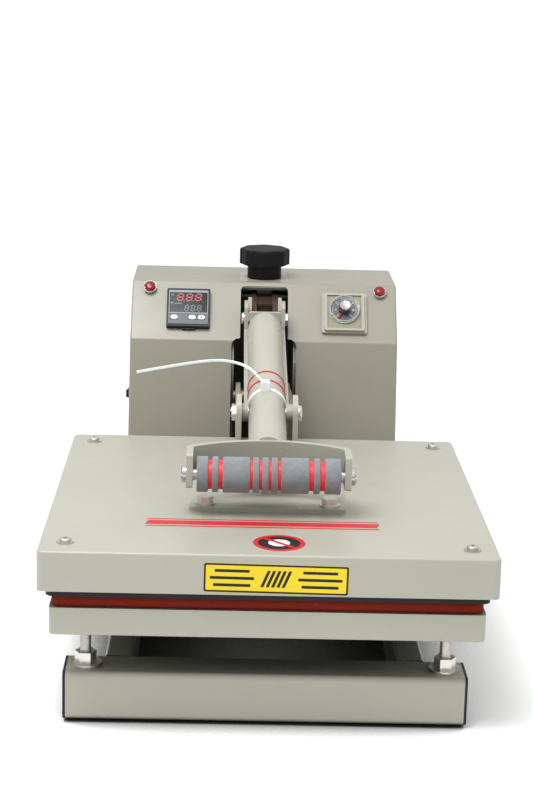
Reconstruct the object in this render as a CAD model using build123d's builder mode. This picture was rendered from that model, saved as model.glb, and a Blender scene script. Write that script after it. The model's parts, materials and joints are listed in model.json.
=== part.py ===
from build123d import *
import math
import os

# Clamshell heat press: base frame, platens, toggle lever and control housing.
# Millimetres. +X right, +Y to the back, +Z up.
# Y is measured from the centre of the platens while a piece is drawn. save() then
# moves it back by MIDDLE_Y, so the origin is on the floor under the whole machine.

os.makedirs("parts", exist_ok=True)

MIDDLE_Y = 128.5

# base frame, front at -Y
FOOT_H = 3.0
BAR = 45.0
BAR_WALL = 2.5
BAR_LENGTH = 355.0
BAR_Y = (-147.0, 147.0, 431.0)
CAP_T = 2.5
RAIL_X = (120.0, 145.0)
FRAME_TOP = FOOT_H + BAR
DECK_T = 4.0
DECK_TOP = FRAME_TOP + DECK_T

# platens
STUD_X = 161.0
STUD_R = 5.0
STUD_Z = (30.0, 105.0)
COLLAR_R = 10.0
COLLAR_T = 8.0
LOWER_SIZE = 380.0
LOWER_Z = (91.0, 116.0)
PAD_SIZE = 376.0
PAD_TOP = 127.0
HEAT_SIZE = 386.0
HEAT_Z = (127.4, 145.4)
COVER_SIZE = 400.0
COVER_Z = (133.6, 169.8)
COVER_SHEET = 1.5
COVER_SCREWS = ((-177, -174), (177, -174), (-177, 171), (177, 171))

# arm on the cover
ARM_PLATE_T = 4.2
ARM_TOP = COVER_Z[1] + ARM_PLATE_T
ARM_BOLTS = ((-57.5, -63), (57.5, -63), (-57.5, 75), (57.5, 75))
ARM_X = (25.0, 30.0)

# pivots in the YZ plane, press closed
PIVOT_B = (60.0, 231.5)
PIVOT_Q = (308.0, 277.0)
PIVOT_P = (388.0, 288.0)
PIVOT_C = (318.0, 185.0)
PIN_R = 5.0
HINGE_R = 7.0
RUN = 0.05

# lever
LEVER_ANGLE = math.degrees(math.atan2(PIVOT_Q[1] - PIVOT_B[1], PIVOT_Q[0] - PIVOT_B[0]))
LEVER_LENGTH = math.hypot(PIVOT_Q[0] - PIVOT_B[0], PIVOT_Q[1] - PIVOT_B[1])
TUBE_R = 18.25
TUBE_WALL = 2.5
CHEEK_X = (18.25, 22.25)
BOW_Y = -37.0
BOW_TAB_Y = -95.0
BOW_X = 75.0
BOW_T = 6.0
BOW_R = 117.6
BOW_Z = (197.5, 229.5)
END_PLATE_T = 3.0
TUBE_END = 25.5
GRIP_Y, GRIP_Z = -83.0, 208.0
AXLE_R = 4.75
GRIP_HALF = 65.5
GRIP_CORE_R = 13.5
GRIP_R = 16.5
FOAM = ((-65.5, -55.1), (-51.5, -45.7), (-41.8, -17.2), (-14.5, -8.8), (-6.0, -0.3),
        (2.4, 8.1), (11.3, 36.6), (41.0, 46.5), (51.1, 65.5))

# link with its slotted lower eye
LINK_X = (9.0, 14.0)
LINK_WEB = (18.0, 54.0)
BOSS_X = 14.4
LINK_LENGTH = math.hypot(PIVOT_P[0] - PIVOT_Q[0], PIVOT_P[1] - PIVOT_Q[1])
LINK_ANGLE = math.degrees(math.atan2(PIVOT_Q[1] - PIVOT_P[1], PIVOT_Q[0] - PIVOT_P[0]))
SLOT_BACK = 17.0
SLOT_LOW = 1.5
SLOT_HIGH = 5.5
SLOT_GAP = 0.8

# housing
BOX_X = 148.0
BOX_SHEET = 1.5
BOX_PROFILE = ((260.0, DECK_TOP), (308.0, 251.7), (356.3, 309.3), (454.5, 309.3), (454.5, DECK_TOP))
UPRIGHT_X = (33.0, 39.0)
BRIDGE_Z = (299.5, 307.5)
BRIDGE_Y = (362.0, 438.0)
LAND_X, LAND_Y = 55.0, 58.0
SCREW_R, SCREW_TOP = 7.0, 330.0
KNOB_Z = (310.3, 325.5, 343.2)
KNOB_LOBES = 8
CONTROL_X, CONTROL_S = -84.5, 37.5
TIMER_X, TIMER_S = 89.0, 35.5
KEYS = ((-15.5, -12.8), (4.5, -12.8), (14.6, -12.8))
KEY = (8.0, 4.8)
KEY_GAP = 0.3
WINDOW = (44.0, 30.0)
WINDOW_S = 7.0
DIAL_LIFT = 3.0
DIAL_Z = (6.0, 10.0, 17.5)
DIAL_R, DIAL_KNOB_R = 17.0, 6.5
DIAL_PIN_R = 3.0
LAMP_S = 64.0
LAMP_X = (-128.0, 129.0)
LAMP_RIM_T, LAMP_LENS_T = 4.5, 4.0
CONTROL_BEZEL, TIMER_BEZEL = 48.0, 50.0
CASE, CASE_DEPTH = 44.0, 58.0
CONTROL_T = 6.0
WINDOW_LIFT = 4.8
KEY_Z = (3.8, 6.8)
SWITCH_Y, SWITCH_Z = 340.0, 183.0
ROCKER_PIN_R = 1.5
INLET_X, INLET_Z = -95.0, 90.0

SLOPE = math.degrees(math.atan2(BOX_PROFILE[2][1] - BOX_PROFILE[1][1], BOX_PROFILE[2][0] - BOX_PROFILE[1][0]))
PANEL = Plane(
    origin=(0, BOX_PROFILE[1][0], BOX_PROFILE[1][1]),
    x_dir=(1, 0, 0),
    z_dir=(0, -math.sin(math.radians(SLOPE)), math.cos(math.radians(SLOPE))),
)


def save(piece, name):
    """Label one piece and write it to its STEP file, about the machine's middle."""
    placed = piece.part.moved(Location((0, -MIDDLE_Y, 0)))
    placed.label = name
    export_step(placed, f"parts/{name}.step")


def side_plane(x):
    """Plane across X at x: its local axes are world Y and Z."""
    return Plane.YZ.offset(x)


def lever_plane(x):
    """Side plane at pivot B, its local X along the lever towards pivot Q."""
    a = math.radians(LEVER_ANGLE)
    return Plane(origin=(x, *PIVOT_B), x_dir=(0, math.cos(a), math.sin(a)), z_dir=(1, 0, 0))


def tube_plane(distance):
    """Plane square to the lever, distance mm from pivot B towards pivot Q."""
    a = math.radians(LEVER_ANGLE)
    return Plane(origin=(0, *PIVOT_B), x_dir=(1, 0, 0), z_dir=(0, math.cos(a), math.sin(a))).offset(distance)


def link_plane(x):
    """Side plane at pivot P, its local X along the link towards pivot Q."""
    a = math.radians(LINK_ANGLE)
    return Plane(origin=(x, *PIVOT_P), x_dir=(0, math.cos(a), math.sin(a)), z_dir=(1, 0, 0))


def panel_plane(x, s, lift=0.0):
    """Plane on the sloping control panel, s mm up from its lower bend."""
    return PANEL.offset(lift).shift_origin(PANEL.offset(lift).from_local_coords((x, s, 0)))


def box(x0, x1, y0, y1, z0, z1, corner=0.0):
    """Block between two corners, with rounded upright edges."""
    with BuildPart() as piece:
        with BuildSketch(Plane.XY.offset(z0)):
            with Locations(((x0 + x1) / 2, (y0 + y1) / 2)):
                if corner:
                    RectangleRounded(x1 - x0, y1 - y0, corner)
                else:
                    Rectangle(x1 - x0, y1 - y0)
        extrude(amount=z1 - z0)
    return piece


def discs(points, z0, z1, outer, inner=0.0):
    """Upright discs or rings at the given XY points."""
    with BuildPart() as piece:
        with BuildSketch(Plane.XY.offset(z0)):
            with Locations(*points):
                Circle(outer)
                if inner:
                    Circle(inner, mode=Mode.SUBTRACT)
        extrude(amount=z1 - z0)
    return piece


def cross_rings(centre, spans, outer, inner=0.0):
    """Rings about one axis across X, one for each (x0, x1) span."""
    with BuildPart() as piece:
        for x0, x1 in spans:
            with BuildSketch(side_plane(x0)):
                with Locations(centre):
                    Circle(outer)
                    if inner:
                        Circle(inner, mode=Mode.SUBTRACT)
            extrude(amount=x1 - x0)
    return piece


def both_sides(span):
    """The span and its mirror image across X."""
    return ((-span[1], -span[0]), span)


def crossbar(y, drilled):
    """Square tube across the base, drilled in its top wall for the studs."""
    with BuildPart() as piece:
        with BuildSketch(side_plane(-BAR_LENGTH / 2)):
            with Locations((y, FOOT_H + BAR / 2)):
                RectangleRounded(BAR, BAR, 5)
                RectangleRounded(BAR - 2 * BAR_WALL, BAR - 2 * BAR_WALL, 2.5, mode=Mode.SUBTRACT)
        extrude(amount=BAR_LENGTH)
        if drilled:
            with BuildSketch(Plane.XY.offset(FRAME_TOP - BAR_WALL - 1)):
                with Locations((-STUD_X, y), (STUD_X, y)):
                    Circle(STUD_R + 0.5)
            extrude(amount=BAR_WALL + 2, mode=Mode.SUBTRACT)
    return piece


def end_caps():
    """Plastic caps with plugs in both ends of the three crossbars."""
    with BuildPart() as piece:
        for start, plug in ((BAR_LENGTH / 2, -6), (-BAR_LENGTH / 2 - CAP_T, 6)):
            plug_start = start if start > 0 else start + CAP_T
            for y in BAR_Y:
                with BuildSketch(side_plane(start)):
                    with Locations((y, FOOT_H + BAR / 2)):
                        RectangleRounded(BAR, BAR, 5)
                extrude(amount=CAP_T)
                with BuildSketch(side_plane(plug_start)):
                    with Locations((y, FOOT_H + BAR / 2)):
                        RectangleRounded(39, 39, 3)
                extrude(amount=plug)
    return piece


def rail(side):
    """Rectangular tube rail, in two lengths between the crossbars."""
    middle = side * (RAIL_X[0] + RAIL_X[1]) / 2
    width = RAIL_X[1] - RAIL_X[0]
    with BuildPart() as piece:
        for y0, y1 in ((BAR_Y[0] + BAR / 2, BAR_Y[1] - BAR / 2), (BAR_Y[1] + BAR / 2, BAR_Y[2] - BAR / 2)):
            with BuildSketch(Plane.XZ.offset(-y0)):
                with Locations((middle, FOOT_H + BAR / 2)):
                    RectangleRounded(width, BAR, 3)
                    RectangleRounded(width - 5, BAR - 5, 1, mode=Mode.SUBTRACT)
            extrude(amount=-(y1 - y0))
    return piece


def stud_nuts(points):
    """Nut above and nut inside the crossbar on every levelling stud."""
    with BuildPart() as piece:
        for z0, height in ((FRAME_TOP + 2.5, 10), (FRAME_TOP - BAR_WALL - 8, 8)):
            with BuildSketch(Plane.XY.offset(z0)):
                with Locations(*points):
                    RegularPolygon(8.5, 6, major_radius=False)
                    Circle(STUD_R, mode=Mode.SUBTRACT)
            extrude(amount=height)
    return piece


def levelling_studs(points):
    """Threaded studs with a collar under the lower platen."""
    with BuildPart() as piece:
        with BuildSketch(Plane.XY.offset(STUD_Z[0])):
            with Locations(*points):
                Circle(STUD_R)
        extrude(amount=STUD_Z[1] - STUD_Z[0])
        with BuildSketch(Plane.XY.offset(LOWER_Z[0] - COLLAR_T)):
            with Locations(*points):
                Circle(COLLAR_R)
        extrude(amount=COLLAR_T)
    return piece


def lower_platen(points):
    """Painted lower platen with blind holes for the studs."""
    with BuildPart() as piece:
        with BuildSketch(Plane.XY.offset(LOWER_Z[0])):
            with Locations((0, -1.5)):
                RectangleRounded(LOWER_SIZE, LOWER_SIZE, 4)
        extrude(amount=LOWER_Z[1] - LOWER_Z[0])
        fillet(piece.faces().sort_by(Axis.Z)[0].edges(), 2)
        with BuildSketch(Plane.XY.offset(LOWER_Z[0])):
            with Locations(*points):
                Circle(STUD_R)
        extrude(amount=STUD_Z[1] - LOWER_Z[0], mode=Mode.SUBTRACT)
    return piece


def platen_cover():
    """Folded sheet cover, open below, with holes for its screws and the arm bolts."""
    with BuildPart() as piece:
        with BuildSketch(Plane.XY.offset(COVER_Z[0])):
            RectangleRounded(COVER_SIZE, COVER_SIZE, 6)
        extrude(amount=COVER_Z[1] - COVER_Z[0])
        fillet(piece.faces().sort_by(Axis.Z)[-1].edges(), 2.5)
        with BuildSketch(Plane.XY.offset(COVER_Z[0])):
            RectangleRounded(COVER_SIZE - 2 * COVER_SHEET, COVER_SIZE - 2 * COVER_SHEET, 4.5)
        extrude(amount=COVER_Z[1] - COVER_Z[0] - COVER_SHEET, mode=Mode.SUBTRACT)
        with BuildSketch(Plane.XY.offset(COVER_Z[1] - COVER_SHEET - 1)):
            with Locations(*COVER_SCREWS):
                Circle(2.6)
            with Locations(*ARM_BOLTS):
                Circle(4.2)
        extrude(amount=COVER_SHEET + 2, mode=Mode.SUBTRACT)
    return piece


def heat_platen():
    """Aluminium platen, tapped for the cover screws and the arm bolts."""
    with BuildPart() as piece:
        with BuildSketch(Plane.XY.offset(HEAT_Z[0])):
            with Locations((0, -1.5)):
                RectangleRounded(HEAT_SIZE, HEAT_SIZE, 8)
        extrude(amount=HEAT_Z[1] - HEAT_Z[0])
        with BuildSketch(Plane.XY.offset(HEAT_Z[1] - 10)):
            with Locations(*COVER_SCREWS):
                Circle(2.5)
            with Locations(*ARM_BOLTS):
                Circle(4)
        extrude(amount=10, mode=Mode.SUBTRACT)
    return piece


def insulation():
    """Fibre mat on top of the heat platen, punched for the load posts."""
    with BuildPart() as piece:
        with BuildSketch(Plane.XY.offset(HEAT_Z[1])):
            Rectangle(340, 340)
            with Locations(*ARM_BOLTS):
                Circle(12, mode=Mode.SUBTRACT)
        extrude(amount=15)
    return piece


def posts():
    """Load posts under the arm bolts and slim posts under the cover screws."""
    with BuildPart() as piece:
        with BuildSketch(Plane.XY.offset(HEAT_Z[1])):
            with Locations(*ARM_BOLTS):
                Circle(10)
                Circle(4, mode=Mode.SUBTRACT)
            with Locations(*COVER_SCREWS):
                Circle(6)
                Circle(2.5, mode=Mode.SUBTRACT)
        extrude(amount=COVER_Z[1] - COVER_SHEET - HEAT_Z[1])
    return piece


def cover_screws():
    """Button head screws with captive washers that hold the cover to the posts."""
    top = COVER_Z[1] + 1.2
    with BuildPart() as piece:
        with BuildSketch(Plane.XY.offset(COVER_Z[1])):
            with Locations(*COVER_SCREWS):
                Circle(7.5)
        extrude(amount=1.2)
        with BuildSketch(Plane.XY.offset(HEAT_Z[1] - 8)):
            with Locations(*COVER_SCREWS):
                Circle(2.5)
        extrude(amount=top - HEAT_Z[1] + 8)
        with BuildSketch(Plane.XY.offset(top)):
            with Locations(*COVER_SCREWS):
                Circle(5)
        extrude(amount=3)
        fillet(piece.edges().filter_by(GeomType.CIRCLE).group_by(Axis.Z)[-1], 1.8)
        with BuildSketch(Plane.XY.offset(top + 1.2)):
            with Locations(*COVER_SCREWS):
                RegularPolygon(1.5, 6)
        extrude(amount=3, mode=Mode.SUBTRACT)
    return piece


def arm_bolts():
    """Flange bolts through the arm base plate into the heat platen."""
    with BuildPart() as piece:
        with BuildSketch(Plane.XY.offset(HEAT_Z[1] - 9)):
            with Locations(*ARM_BOLTS):
                Circle(4)
        extrude(amount=ARM_TOP - HEAT_Z[1] + 9)
        with BuildSketch(Plane.XY.offset(ARM_TOP)):
            with Locations(*ARM_BOLTS):
                Circle(9.2)
        extrude(amount=1.8)
        with BuildSketch(Plane.XY.offset(ARM_TOP + 1.8)):
            with Locations(*ARM_BOLTS):
                RegularPolygon(6.5, 6, major_radius=False)
        extrude(amount=6)
    return piece


def arm_base():
    """Base plate of the arm, bolted on the cover."""
    with BuildPart() as piece:
        with BuildSketch(Plane.XY.offset(COVER_Z[1])):
            with Locations((0, 8)):
                RectangleRounded(145, 164, 4)
            with Locations(*ARM_BOLTS):
                Circle(4, mode=Mode.SUBTRACT)
        extrude(amount=ARM_PLATE_T)
    return piece


def arm_plate(x0, x1):
    """Side plate of the arm from the lever pivot back to the main hinge."""
    with BuildPart() as piece:
        with BuildSketch(side_plane(x0)):
            with Locations(PIVOT_B):
                Circle(18)
            with Locations(PIVOT_C):
                Circle(17)
            with BuildLine():
                Polyline(
                    (37, ARM_TOP), (42, PIVOT_B[1]), (77, PIVOT_B[1] + 6), (110, 214), (300, 202),
                    (318, 168), (230, 168), (214, ARM_TOP), close=True,
                )
            make_face()
            with Locations(PIVOT_B):
                Circle(PIN_R, mode=Mode.SUBTRACT)
            with Locations(PIVOT_C):
                Circle(HINGE_R + RUN, mode=Mode.SUBTRACT)
        extrude(amount=x1 - x0)
    return piece


def pin(centre, head_x, nut_x, radius, head, head_t, nut, nut_t, spare):
    """Pivot bolt across X: domed head beyond head_x, nut and spare thread beyond nut_x."""
    way = 1 if nut_x > head_x else -1
    with BuildPart() as piece:
        with BuildSketch(side_plane(head_x)):
            with Locations(centre):
                Circle(head)
        extrude(amount=-way * head_t)
        fillet(piece.faces().sort_by(Axis.X)[0 if way > 0 else -1].edges(), head_t * 0.6)
        with BuildSketch(side_plane(head_x)):
            with Locations(centre):
                Circle(radius)
        extrude(amount=nut_x - head_x + way * (nut_t + spare))
        with BuildSketch(side_plane(nut_x)):
            with Locations(centre):
                RegularPolygon(nut, 6, major_radius=False)
        extrude(amount=way * nut_t)
    return piece


def lever_tube():
    """Inclined lever tube with a square end plate, relieved under its rear end."""
    length = 110 + LEVER_LENGTH - TUBE_END
    with BuildPart() as piece:
        with BuildSketch(tube_plane(-110)):
            Circle(TUBE_R)
        extrude(amount=length)
        with BuildSketch(tube_plane(-115)):
            Circle(TUBE_R - TUBE_WALL)
        extrude(amount=length + 5 - END_PLATE_T, mode=Mode.SUBTRACT)
        with BuildSketch(tube_plane(LEVER_LENGTH - TUBE_END - END_PLATE_T)):
            RectangleRounded(2 * TUBE_R, 2 * TUBE_R, 3)
        extrude(amount=END_PLATE_T)
        with BuildSketch(Plane.XY.offset(150)):
            with Locations((0, BOW_Y - BOW_R)):
                Circle(BOW_R)
        extrude(amount=140, mode=Mode.SUBTRACT)
        with BuildSketch(lever_plane(-30)):
            with Locations((LEVER_LENGTH - 22, -12)):
                Rectangle(24, 40)
        extrude(amount=60, mode=Mode.SUBTRACT)
        with BuildSketch(side_plane(-30)):
            with Locations(PIVOT_B):
                Circle(PIN_R + RUN)
        extrude(amount=60, mode=Mode.SUBTRACT)
    return piece


def lever_cheek(side):
    """Side plate along the tube that ends in the ear and boss for the link pin."""
    end = LEVER_LENGTH
    plate_x, boss_x = (CHEEK_X[0], BOSS_X) if side > 0 else (-CHEEK_X[1], -CHEEK_X[0])
    with BuildPart() as piece:
        with BuildSketch(lever_plane(plate_x)):
            with BuildLine():
                Polyline(
                    (30, -15), (30, -6), (end - 18, -6), (end - 14, 8), (end - 12, 17), (end - 8, 19),
                    (end + 6, 19), (end + 16, 8), (end + 16, -9), (end + 9, -15), close=True,
                )
            make_face()
        extrude(amount=CHEEK_X[1] - CHEEK_X[0])
        with BuildSketch(lever_plane(boss_x)):
            with BuildLine():
                Polyline(
                    (end - 7, -7), (end - 7, 12), (end, 22), (end + 8, 22), (end + 16, 8), (end + 16, -7),
                    close=True,
                )
            make_face()
        extrude(amount=CHEEK_X[0] - BOSS_X)
        with BuildSketch(lever_plane(-30)):
            with Locations((end, 0)):
                Circle(PIN_R)
        extrude(amount=60, mode=Mode.SUBTRACT)
    return piece


def bow():
    """Flat bar bent to an arc across the front end of the tube, with two tabs."""
    centre_y = BOW_Y - BOW_R
    inner_x = BOW_X - BOW_T
    inner_r = BOW_R - BOW_T
    outer_y = centre_y + math.sqrt(BOW_R**2 - BOW_X**2)
    inner_y = centre_y + math.sqrt(inner_r**2 - inner_x**2)
    with BuildPart() as piece:
        with BuildSketch(Plane.XY.offset(BOW_Z[0])) as plan:
            with BuildLine():
                Polyline((-inner_x, inner_y), (-inner_x, BOW_TAB_Y), (-BOW_X, BOW_TAB_Y), (-BOW_X, outer_y))
                ThreePointArc((-BOW_X, outer_y), (0, BOW_Y), (BOW_X, outer_y))
                Polyline((BOW_X, outer_y), (BOW_X, BOW_TAB_Y), (inner_x, BOW_TAB_Y), (inner_x, inner_y))
                ThreePointArc((inner_x, inner_y), (0, BOW_Y - BOW_T), (-inner_x, inner_y))
            make_face()
            outer = [v for v in plan.vertices() if abs(v.X) > BOW_X - 1 and v.Y > BOW_TAB_Y + 1]
            fillet(outer, 9)
            inner = [v for v in plan.vertices() if abs(abs(v.X) - inner_x) < 0.1 and v.Y > BOW_TAB_Y + 1]
            fillet(inner, 3)
        extrude(amount=BOW_Z[1] - BOW_Z[0])
        fillet([e for e in piece.edges().filter_by(Axis.X) if e.center().Y < BOW_TAB_Y + 1], 2.5)
        with BuildSketch(side_plane(-80)):
            with Locations((GRIP_Y, GRIP_Z)):
                Circle(AXLE_R)
        extrude(amount=160, mode=Mode.SUBTRACT)
    return piece


def grip_foam():
    """Foam rings with bevelled edges on the grip core."""
    with BuildPart() as piece:
        for x0, x1 in FOAM:
            with BuildSketch(side_plane(x0)):
                with Locations((GRIP_Y, GRIP_Z)):
                    Circle(GRIP_R)
                    Circle(GRIP_CORE_R, mode=Mode.SUBTRACT)
            extrude(amount=x1 - x0)
        rims = [e for e in piece.edges().filter_by(GeomType.CIRCLE) if abs(e.radius - GRIP_R) < 0.01]
        chamfer(rims, 0.8)
    return piece


def end_screws():
    """Domed screws on the outside of the bow."""
    with BuildPart() as piece:
        for x0 in (-80.0, 75.0):
            with BuildSketch(side_plane(x0)):
                with Locations((GRIP_Y, GRIP_Z)):
                    Circle(8)
            extrude(amount=5)
        fillet(piece.faces().sort_by(Axis.X)[0].edges(), 3)
        fillet(piece.faces().sort_by(Axis.X)[-1].edges(), 3)
    return piece


def toggle_link():
    """Forked link with a solid middle and a slotted lower eye."""
    slot_mid = LINK_LENGTH - SLOT_BACK / 2
    slot_long = SLOT_BACK + 2 * (PIN_R + SLOT_GAP)
    slot_tall = SLOT_LOW + SLOT_HIGH + 2 * (PIN_R + SLOT_GAP)
    slot_off = (SLOT_HIGH - SLOT_LOW) / 2
    with BuildPart() as piece:
        for x0, x1 in both_sides(LINK_X):
            with BuildSketch(link_plane(x0)):
                Circle(10)
                with Locations((LINK_LENGTH - 2, slot_off)):
                    Circle(13)
                with Locations((LINK_LENGTH - 26, slot_off)):
                    Circle(13)
                make_hull()
                with Locations((slot_mid, slot_off)):
                    RectangleRounded(slot_long, slot_tall, 5, mode=Mode.SUBTRACT)
                Circle(PIN_R, mode=Mode.SUBTRACT)
            extrude(amount=x1 - x0)
        with BuildSketch(link_plane(-LINK_X[0])):
            with Locations(((LINK_WEB[0] + LINK_WEB[1]) / 2, slot_off)):
                Rectangle(LINK_WEB[1] - LINK_WEB[0], 20)
        extrude(amount=2 * LINK_X[0])
    return piece


def upright(x0, x1):
    """Frame side plate with the hinge bore and the slot that guides the block pin."""
    with BuildPart() as piece:
        with BuildSketch(side_plane(x0)):
            with BuildLine():
                Polyline(
                    (306, DECK_TOP), (306, 228), (320, 252), (362, BRIDGE_Z[0]), (438, BRIDGE_Z[0]),
                    (438, DECK_TOP), close=True,
                )
            make_face()
            with Locations(PIVOT_C):
                Circle(HINGE_R, mode=Mode.SUBTRACT)
            with Locations((PIVOT_P[0], PIVOT_P[1] - 1)):
                SlotOverall(18, 2 * PIN_R, rotation=90, mode=Mode.SUBTRACT)
        extrude(amount=x1 - x0)
    return piece


def top_bridge():
    """Top plate of the frame, tapped for the pressure screw, with a land in the housing."""
    with BuildPart() as piece:
        with BuildSketch(Plane.XY.offset(BRIDGE_Z[0])):
            with Locations((0, (BRIDGE_Y[0] + BRIDGE_Y[1]) / 2)):
                Rectangle(2 * UPRIGHT_X[1], BRIDGE_Y[1] - BRIDGE_Y[0])
        extrude(amount=BRIDGE_Z[1] - BRIDGE_Z[0])
        with BuildSketch(Plane.XY.offset(BRIDGE_Z[1])):
            with Locations((0, BRIDGE_Y[0] + 2 + LAND_Y / 2)):
                RectangleRounded(LAND_X - 0.4, LAND_Y - 0.4, 1.5)
        extrude(amount=BOX_PROFILE[3][1] - BRIDGE_Z[1])
        with BuildSketch(Plane.XY.offset(BRIDGE_Z[0])):
            with Locations((0, PIVOT_P[0])):
                Circle(SCREW_R + RUN)
        extrude(amount=20, mode=Mode.SUBTRACT)
    return piece


def screw_block():
    """Block with two long trunnions that takes the tip of the pressure screw."""
    top = BRIDGE_Z[0] - 0.5
    with BuildPart() as piece:
        with BuildSketch(side_plane(-8.6)):
            with Locations((PIVOT_P[0], PIVOT_P[1] - 0.5)):
                RectangleRounded(22, 2 * (top - PIVOT_P[1] + 0.5), 3)
        extrude(amount=17.2)
        with BuildSketch(side_plane(-UPRIGHT_X[1])):
            with Locations(PIVOT_P):
                Circle(PIN_R - RUN)
        extrude(amount=2 * UPRIGHT_X[1])
        with BuildSketch(Plane.XY.offset(PIVOT_P[1] + PIN_R + 1)):
            with Locations((0, PIVOT_P[0])):
                Circle(SCREW_R - 1 + RUN)
        extrude(amount=20, mode=Mode.SUBTRACT)
    return piece


def pressure_screw():
    """Pressure screw with a reduced tip in the block."""
    with BuildPart() as piece:
        with BuildSketch(Plane.XY.offset(PIVOT_P[1] + PIN_R + 1.3)):
            with Locations((0, PIVOT_P[0])):
                Circle(SCREW_R - 1)
        extrude(amount=6)
        with BuildSketch(Plane.XY.offset(BRIDGE_Z[0] - 0.2)):
            with Locations((0, PIVOT_P[0])):
                Circle(SCREW_R)
        extrude(amount=SCREW_TOP - BRIDGE_Z[0] + 0.2)
    return piece


def pressure_knob():
    """Lobed knob with a neck, bored for the pressure screw."""
    neck, skirt, top = KNOB_Z
    with BuildPart() as piece:
        with BuildSketch(Plane.XY.offset(neck)):
            with Locations((0, PIVOT_P[0])):
                Circle(19.2)
        extrude(amount=skirt - neck + 1)
        with BuildSketch(Plane.XY.offset(skirt)):
            with Locations((0, PIVOT_P[0])):
                Circle(26.6)
                with PolarLocations(18.5, KNOB_LOBES):
                    Circle(9.8)
        extrude(amount=top - skirt)
        fillet(piece.faces().sort_by(Axis.Z)[-1].edges(), 2.5)
        with BuildSketch(Plane.XY.offset(neck)):
            with Locations((0, PIVOT_P[0])):
                Circle(SCREW_R)
        extrude(amount=SCREW_TOP - neck, mode=Mode.SUBTRACT)
    return piece


def housing_shell():
    """Folded sheet housing, open at the back and below, with its cut-outs."""
    front, bend, brow, back, heel = BOX_PROFILE
    t = BOX_SHEET
    with BuildPart() as piece:
        with BuildSketch(side_plane(-BOX_X)) as outline:
            with BuildLine():
                Polyline(*BOX_PROFILE, close=True)
            make_face()
            fillet([v for v in outline.vertices() if v.Y > 200 and v.X < 400], 4)
        extrude(amount=2 * BOX_X)
        sides = piece.faces().sort_by(Axis.X)
        rims = sides[0].edges() + sides[-1].edges()
        fillet([e for e in rims if e.center().Y < back[0] - 1 and e.center().Z > DECK_TOP + 1], 2.4)
        with BuildSketch(side_plane(-BOX_X + t)) as inside:
            with BuildLine():
                Polyline(
                    (front[0] + 1.03 * t, front[1] - 1), (bend[0] + 1.36 * t, bend[1] - 0.6 * t),
                    (brow[0] + 0.47 * t, brow[1] - t), (back[0] + 5, back[1] - t), (heel[0] + 5, heel[1] - 1),
                    close=True,
                )
            make_face()
            fillet([v for v in inside.vertices() if v.Y > 200 and v.X < 400], 2.5)
        extrude(amount=2 * (BOX_X - t), mode=Mode.SUBTRACT)
        with BuildSketch(Plane.XZ.offset(-240)):
            with Locations((0, 182)):
                RectangleRounded(72, 144, 8)
        extrude(amount=-80, mode=Mode.SUBTRACT)
        with BuildSketch(Plane.XZ.offset(-290)):
            with Locations((0, 275)):
                RectangleRounded(53, 60.5, 5)
        extrude(amount=-63.5, mode=Mode.SUBTRACT)
        with BuildSketch(Plane.XY.offset(300)):
            with Locations((0, BRIDGE_Y[0] + 2 + LAND_Y / 2)):
                RectangleRounded(LAND_X, LAND_Y, 1.7)
        extrude(amount=20, mode=Mode.SUBTRACT)
        for x, s in ((CONTROL_X, CONTROL_S), (TIMER_X, TIMER_S)):
            with BuildSketch(panel_plane(x, s, -6)):
                Rectangle(CASE + 0.4, CASE + 0.4)
            extrude(amount=12, mode=Mode.SUBTRACT)
        for x in LAMP_X:
            with BuildSketch(panel_plane(x, LAMP_S, -6)):
                Circle(5.2)
            extrude(amount=12, mode=Mode.SUBTRACT)
        with BuildSketch(side_plane(-BOX_X - 2)):
            with Locations((SWITCH_Y, SWITCH_Z)):
                Rectangle(19.4, 12.4)
        extrude(amount=6, mode=Mode.SUBTRACT)
    return piece


def housing_back():
    """Back sheet of the housing with vent slots, inlet and fuse cut-outs."""
    y1 = BOX_PROFILE[3][0]
    with BuildPart() as piece:
        with BuildSketch(Plane.XZ.offset(-(y1 - BOX_SHEET))):
            with Locations((0, (DECK_TOP + 307.6) / 2)):
                Rectangle(2 * (BOX_X - BOX_SHEET) - 0.2, 307.6 - DECK_TOP - 0.2)
            with Locations(*[(x, 230 + 12 * i) for x in (-70, 70) for i in range(5)]):
                SlotOverall(70, 4, mode=Mode.SUBTRACT)
            with Locations((INLET_X, INLET_Z)):
                Rectangle(27.4, 19.8, mode=Mode.SUBTRACT)
        extrude(amount=-BOX_SHEET)
    return piece


def back_screws():
    """Pan head screws at the corners of the back sheet."""
    y1 = BOX_PROFILE[3][0]
    with BuildPart() as piece:
        with BuildSketch(Plane.XZ.offset(-y1)):
            with Locations(*[(x, z) for x in (-138, 138) for z in (64, 180, 296)]):
                Circle(3.6)
        extrude(amount=-2)
        fillet(piece.faces().sort_by(Axis.Y)[-6:].edges(), 1.2)
    return piece


def panel_case(x, s, size, bezel_t, corner):
    """Square instrument case through the panel with a bezel on the front."""
    with BuildPart() as piece:
        with BuildSketch(panel_plane(x, s)):
            RectangleRounded(size, size, corner)
        extrude(amount=bezel_t)
        with BuildSketch(panel_plane(x, s)):
            Rectangle(CASE, CASE)
        extrude(amount=-CASE_DEPTH)
    return piece


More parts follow.
